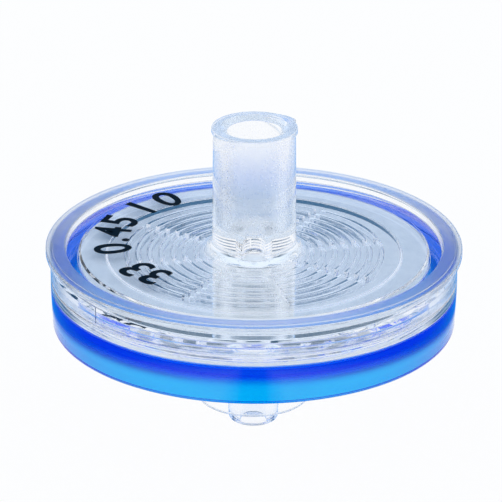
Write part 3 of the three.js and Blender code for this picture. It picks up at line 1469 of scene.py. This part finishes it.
@dataclass
class Studio:
    """White sweep, even sky and long-lens camera.

    Reflections see a blue card behind the filter, and refractions see a dark flag there. The
    floor carries a painted reflection: it shows the card's blue to reflected rays only, beyond an
    edge radius round its middle point and along its middle line, within a gap width. In a band
    round that point it carries painted light, the blue light that falls through the ring, shown
    to all rays but the camera's. Lengths are in millimetres.
    """

    levels: Heights
    distance: float = 300.0
    elevation: float = 23.24
    roll: float = 0.25
    aim: Point3 = (-0.24, 0.0, -10.58)
    lens: float = 271.2
    sensor: float = 36.0
    clip: tuple[float, float] = (0.01, 10.0)
    sweep_half_width: float = 60.0
    sweep_ends: tuple[float, float] = (-160.0, 400.0)
    floor_gap: float = 0.02
    bounces: int = 40
    card: Colour = (0.0, 0.34, 0.93, 1.0)
    flag: Colour = (0.03, 0.08, 0.13, 1.0)
    card_rim: tuple[float, float] = (0.82, 0.95)
    # middle point of the floor's painted reflection and painted blue light
    painted_light_middle: float = -4.5
    # painted reflection: the floor shows the card's blue to reflected rays beyond this radius and along
    # its middle line
    painted_reflection_edge: float = 31.8
    painted_reflection_gap: tuple[float, float] = (3.0, 8.0)
    # painted light: the blue light that falls through the ring, painted on the floor in a band for all
    # rays but the camera's
    painted_blue_light: Colour = (0.5, 0.82, 1.0, 1.0)
    painted_blue_light_inner: float = 12.0
    painted_blue_light_outer: float = 15.5
    painted_blue_light_fades: tuple[float, float] = (1.0, 1.5)
    floor_paint: Colour = (0.95, 0.95, 0.95, 1.0)
    floor_roughness: float = 0.7
    white: Colour = (1.0, 1.0, 1.0, 1.0)
    floor_glow: float = 0.96
    sky_strength: float = 1.5
    clearness: float = 0.6
    clear_sky: Colour = (0.66, 0.66, 0.66, 1.0)
    sky_colours: tuple[tuple[float, Colour], ...] = (
        (0.30, (0.55, 0.60, 0.66, 1.0)),
        (0.46, (0.74, 0.74, 0.74, 1.0)),
        (0.54, (0.74, 0.75, 0.76, 1.0)),
        (0.62, (0.42, 0.52, 0.68, 1.0)),
        (0.78, (0.26, 0.46, 0.70, 1.0)),
        (0.88, (0.44, 0.60, 0.79, 1.0)),
    )

    def camera(self) -> None:
        """Makes the camera and sets it."""
        data = bpy.data.cameras.new("camera")
        data.sensor_width = self.sensor
        data.lens = self.lens
        data.clip_start, data.clip_end = self.clip
        made = bpy.data.objects.new("camera", data)
        bpy.context.scene.collection.objects.link(made)
        angle = math.radians(self.elevation)
        back = Vector((0, -math.cos(angle), math.sin(angle)))
        made.location = (Vector(self.aim) + back * self.distance) * MM
        turn = (-back).to_track_quat("-Z", "Y").to_matrix().to_4x4()
        rolled = turn @ turn.Rotation(math.radians(self.roll), 4, "Z")
        made.rotation_euler = rolled.to_euler()
        bpy.context.scene.camera = made

    def sky(self) -> None:
        """Lights the scene with a world that is brightest above and behind."""
        world = bpy.data.worlds.new("studio")
        bpy.context.scene.world = world
        world.use_nodes = True
        bench = Bench(world.node_tree)
        world.node_tree.nodes.clear()
        way = bench.node("ShaderNodeTexCoord").outputs["Generated"]
        up = bench.node("ShaderNodeSeparateXYZ", {0: way}).outputs[2]
        place = bench.maths("MULTIPLY_ADD", up, 0.5, 0.5)
        path = bench.node("ShaderNodeLightPath").outputs
        through = bench.maths("MULTIPLY", path["Is Transmission Ray"], self.clearness)
        seen = bench.blend(through, self.ramp(bench, place, self.sky_colours), self.clear_sky)
        open_sky = bench.node(
            "ShaderNodeBackground", {"Color": seen, "Strength": self.sky_strength}
        )
        tilt = math.radians(self.elevation)
        towards = (0.0, math.cos(tilt), math.sin(tilt))
        facing = bench.node(
            "ShaderNodeVectorMath", {0: way, 1: towards}, operation="DOT_PRODUCT"
        ).outputs["Value"]
        rim = {0: facing, 1: self.card_rim[0], 2: self.card_rim[1]}
        covered = bench.node("ShaderNodeMapRange", rim).outputs[0]
        tone = bench.blend(self.reflected(bench, path), self.flag, self.card)
        card = bench.node("ShaderNodeBackground", {"Color": tone, "Strength": 1.0})
        sky = bench.node(
            "ShaderNodeMixShader", {0: covered, 1: open_sky.outputs[0], 2: card.outputs[0]}
        )
        white = bench.node("ShaderNodeBackground", {"Color": self.white, "Strength": 1.0})
        mix = bench.node(
            "ShaderNodeMixShader",
            {0: path["Is Camera Ray"], 1: sky.outputs[0], 2: white.outputs[0]},
        )
        bench.node("ShaderNodeOutputWorld", {0: mix.outputs[0]})

    @staticmethod
    def reflected(bench: Bench, path: bpy.types.bpy_prop_collection) -> bpy.types.NodeSocket:
        """1 on a ray that was only reflected, since Cycles marks refracted ones as glossy too."""
        only = bench.maths("SUBTRACT", path["Is Glossy Ray"], path["Is Transmission Ray"])
        return bench.maths("MAXIMUM", only, 0.0)

    @staticmethod
    def ramp(
        bench: Bench, place: bpy.types.NodeSocket, stops: tuple[tuple[float, Colour], ...]
    ) -> bpy.types.NodeSocket:
        """A colour ramp over a value.

        Args:
            bench: The tree's bench.
            place: The value from 0 to 1.
            stops: Places and colours.

        Returns:
            The colour.
        """
        made = bench.node("ShaderNodeValToRGB", {0: place})
        elements = made.color_ramp.elements
        elements.remove(elements[1])
        elements[0].position, elements[0].color = stops[0]
        for at, colour in stops[1:]:
            elements.new(at).color = colour
        return made.outputs[0]

    def floor(self) -> bpy.types.Object:
        """Makes the white sweep that the filter stands on.

        Returns:
            The sweep.
        """
        z, wide = self.levels.tip - self.floor_gap, self.sweep_half_width
        front, back = self.sweep_ends
        made = mesh_object(
            "floor",
            [(-wide, front, z), (wide, front, z), (wide, back, z), (-wide, back, z)],
            [(0, 1, 2, 3)],
        )
        work = SurfaceTree("white_sweep")
        work.set(Base_Color=self.floor_paint, Roughness=self.floor_roughness)
        path = work.node("ShaderNodeLightPath").outputs
        x, y, _ = work.node("ShaderNodeSeparateXYZ", {0: work.place}).outputs
        # painted reflection: where the floor shows the card's blue to reflected rays only
        out = work.distance(x, work.maths("SUBTRACT", y, self.painted_light_middle * MM))
        beyond = work.between(out, (self.painted_reflection_edge - 1) * MM, (self.painted_reflection_edge + 1) * MM)
        narrow, broad = (side * MM for side in self.painted_reflection_gap)
        middle = work.between(work.maths("ABSOLUTE", x), narrow, broad, 1.0, 0.0)
        painted_reflection_mask = work.maths("MAXIMUM", beyond, middle)
        card = work.maths("MULTIPLY", painted_reflection_mask, self.reflected(work, path))
        # painted light: a band of floor under the ring shows the blue light that falls through it, to
        # all rays but the camera's
        inner, outer = self.painted_blue_light_inner * MM, self.painted_blue_light_outer * MM
        near, beside = (fade * MM for fade in self.painted_blue_light_fades)
        under = work.maths(
            "MINIMUM",
            work.between(out, inner - near, inner + near),
            work.between(out, outer - beside, outer + beside, 1.0, 0.0),
        )
        unseen = work.maths("SUBTRACT", 1.0, path["Is Camera Ray"])
        painted_blue_light_tone = work.blend(work.maths("MULTIPLY", under, unseen), self.white, self.painted_blue_light)
        tone = work.blend(card, painted_blue_light_tone, self.card)
        glow = work.node("ShaderNodeEmission", {"Color": tone, "Strength": 1.0})
        direct = work.maths("MAXIMUM", path["Is Camera Ray"], path["Is Glossy Ray"])
        direct = work.maths("MAXIMUM", direct, path["Is Transmission Ray"])
        share = work.maths("MULTIPLY", direct, self.floor_glow)
        mix = work.node(
            "ShaderNodeMixShader", {0: share, 1: work.shader.outputs[0], 2: glow.outputs[0]}
        )
        work.feed(work.output.inputs["Surface"], mix.outputs[0])
        made.data.materials.append(work.material)
        return made

    def build(self) -> None:
        """Makes the whole stage."""
        self.camera()
        self.sky()
        self.floor()
        scene = bpy.context.scene
        scene.view_settings.view_transform = "Standard"
        scene.cycles.max_bounces = self.bounces
        scene.cycles.transmission_bounces = self.bounces
        scene.cycles.glossy_bounces = self.bounces
        scene.cycles.blur_glossy = 0.0


# ---------------------------------------------------------------- assembly


def carried(piece: bpy.types.Object, node: str) -> bpy.types.Object:
    """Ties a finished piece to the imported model.

    Args:
        piece: The piece.
        node: The CAD node that it stands for.

    Returns:
        The same piece.
    """
    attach(piece, BODY)
    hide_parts(node)
    log.info("%s: %d faces, stands for %s", piece.name, len(piece.data.polygons), node)
    return piece


def main() -> None:
    """Builds every piece in order."""
    levels = Heights.read()
    inlet = InletHousing(
        levels,
        RibField(first_radius=3.68, pitch=0.92, rings=8, crest_width=0.3, root_width=0.46),
        LuerLugs(),
        MouldLine(),
    )
    clear = ClearPlastic(frosts=inlet.matt_stretches()).material()
    carried(inlet.build(clear), "inlet_housing")
    numbers = PrintedNumbers(levels, inlet.plateau).build(PrintedInk().material())
    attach(numbers, BODY)
    log.info("%s: %d faces", numbers.name, len(numbers.data.polygons))
    outlet = OutletHousing(
        levels,
        RibField(first_radius=2.6, pitch=1.16, rings=8, crest_width=0.36, root_width=0.56),
        CollarThread(),
    )
    carried(outlet.build(clear), "outlet_housing")
    carried(Membrane(levels).build(MembranePaper().material()), "membrane")
    ring = ColourRing(levels)
    blue = BluePlastic(frosts=(ring.matt_hollow(),)).material()
    carried(ring.build(blue), "colour_ring")
    Studio(levels).build()


if __name__ == "__main__":
    logging.basicConfig(level=logging.INFO, format="%(name)s: %(message)s")
    main()
